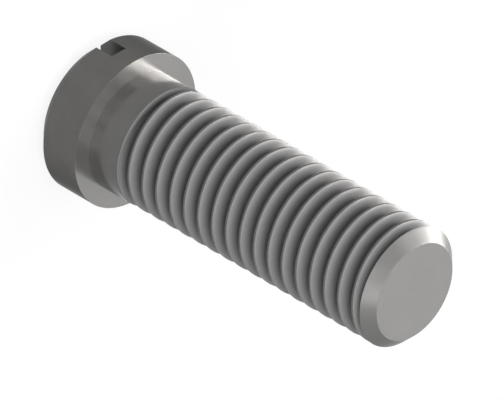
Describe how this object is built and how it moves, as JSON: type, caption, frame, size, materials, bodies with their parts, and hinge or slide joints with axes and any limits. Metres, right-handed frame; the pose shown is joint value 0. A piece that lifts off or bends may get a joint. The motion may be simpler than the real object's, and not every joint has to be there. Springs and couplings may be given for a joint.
{
  "type": "slotted cheese head screw",
  "caption": "Metric machine screw with a round, flat-topped head, a straight driver slot across it, a short plain shank and a coarse thread to a chamfered tip.",
  "frame": {"origin": "centre of the flat top face of the head, which the screw stands on", "axes": "+Z along the axis of the screw from the head to the tip, X along the driver slot"},
  "size_m": [0.013, 0.013, 0.0345],
  "materials": {
    "turned_steel": "satin turned steel"
  },
  "bodies": {
    "root": {"screw": "turned_steel"}
  },
  "joints": []
}
